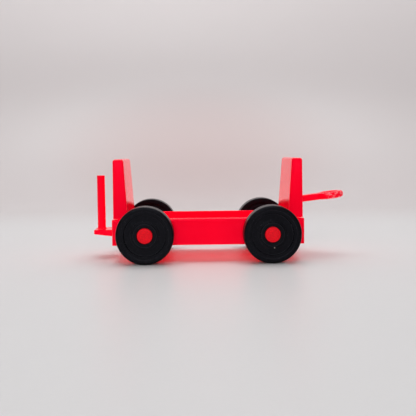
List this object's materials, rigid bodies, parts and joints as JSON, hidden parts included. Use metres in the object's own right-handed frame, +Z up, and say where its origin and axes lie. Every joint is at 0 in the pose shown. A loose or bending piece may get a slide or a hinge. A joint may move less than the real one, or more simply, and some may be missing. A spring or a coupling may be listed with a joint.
{
  "type": "toy flat wagon",
  "caption": "Small moulded toy flat wagon with tall end boards, free-rolling disc wheels, a tipping drawbar with an eye and a rear hitch post.",
  "frame": {"origin": "on the ground under the middle of the overall length, on the centre plane", "axes": "+X along the wagon towards the drawbar, +Y to the left side, +Z up"},
  "size_m": [0.1152, 0.0566, 0.0451],
  "materials": {
    "red_gloss_plastic": "glossy moulded",
    "red_matt_plastic": "fine matt moulded",
    "black_plastic": "satin moulded",
    "steel": "drawn rod"
  },
  "bodies": {
    "chassis": {"deck_body": "red_gloss_plastic", "front_end_board": "red_gloss_plastic", "rear_end_board": "red_gloss_plastic", "base_plate": "red_gloss_plastic", "rear_hitch": "red_gloss_plastic", "front_axle": "steel", "rear_axle": "steel", "drawbar_pivot_pin": "steel", "drawbar_pin_keeper": "red_gloss_plastic", "base_screw_front_left": "steel", "base_screw_front_right": "steel", "base_screw_rear_left": "steel", "base_screw_rear_right": "steel", "hub_cap_front_left": "red_matt_plastic", "hub_cap_front_right": "red_matt_plastic", "hub_cap_rear_left": "red_matt_plastic", "hub_cap_rear_right": "red_matt_plastic"},
    "drawbar": {"drawbar": "red_gloss_plastic"},
    "wheel_front_left": {"wheel_front_left": "black_plastic"},
    "wheel_front_right": {"wheel_front_right": "black_plastic"},
    "wheel_rear_left": {"wheel_rear_left": "black_plastic"},
    "wheel_rear_right": {"wheel_rear_right": "black_plastic"}
  },
  "joints": [
    {"name": "drawbar_tip", "type": "hinge", "parent": "chassis", "child": "drawbar", "pos_m": [0.03293, 0, 0.02535], "axis": [0, -1, 0], "range_deg": [-27, 13]},
    {"name": "wheel_front_left_spin", "type": "hinge", "parent": "chassis", "child": "wheel_front_left", "pos_m": [0.02173, 0.0244, 0.0125], "axis": [0, 1, 0], "continuous": true},
    {"name": "wheel_front_right_spin", "type": "hinge", "parent": "chassis", "child": "wheel_front_right", "pos_m": [0.02173, -0.0244, 0.0125], "axis": [0, 1, 0], "continuous": true},
    {"name": "wheel_rear_left_spin", "type": "hinge", "parent": "chassis", "child": "wheel_rear_left", "pos_m": [-0.03307, 0.0244, 0.0125], "axis": [0, 1, 0], "continuous": true},
    {"name": "wheel_rear_right_spin", "type": "hinge", "parent": "chassis", "child": "wheel_rear_right", "pos_m": [-0.03307, -0.0244, 0.0125], "axis": [0, 1, 0], "continuous": true}
  ]
}
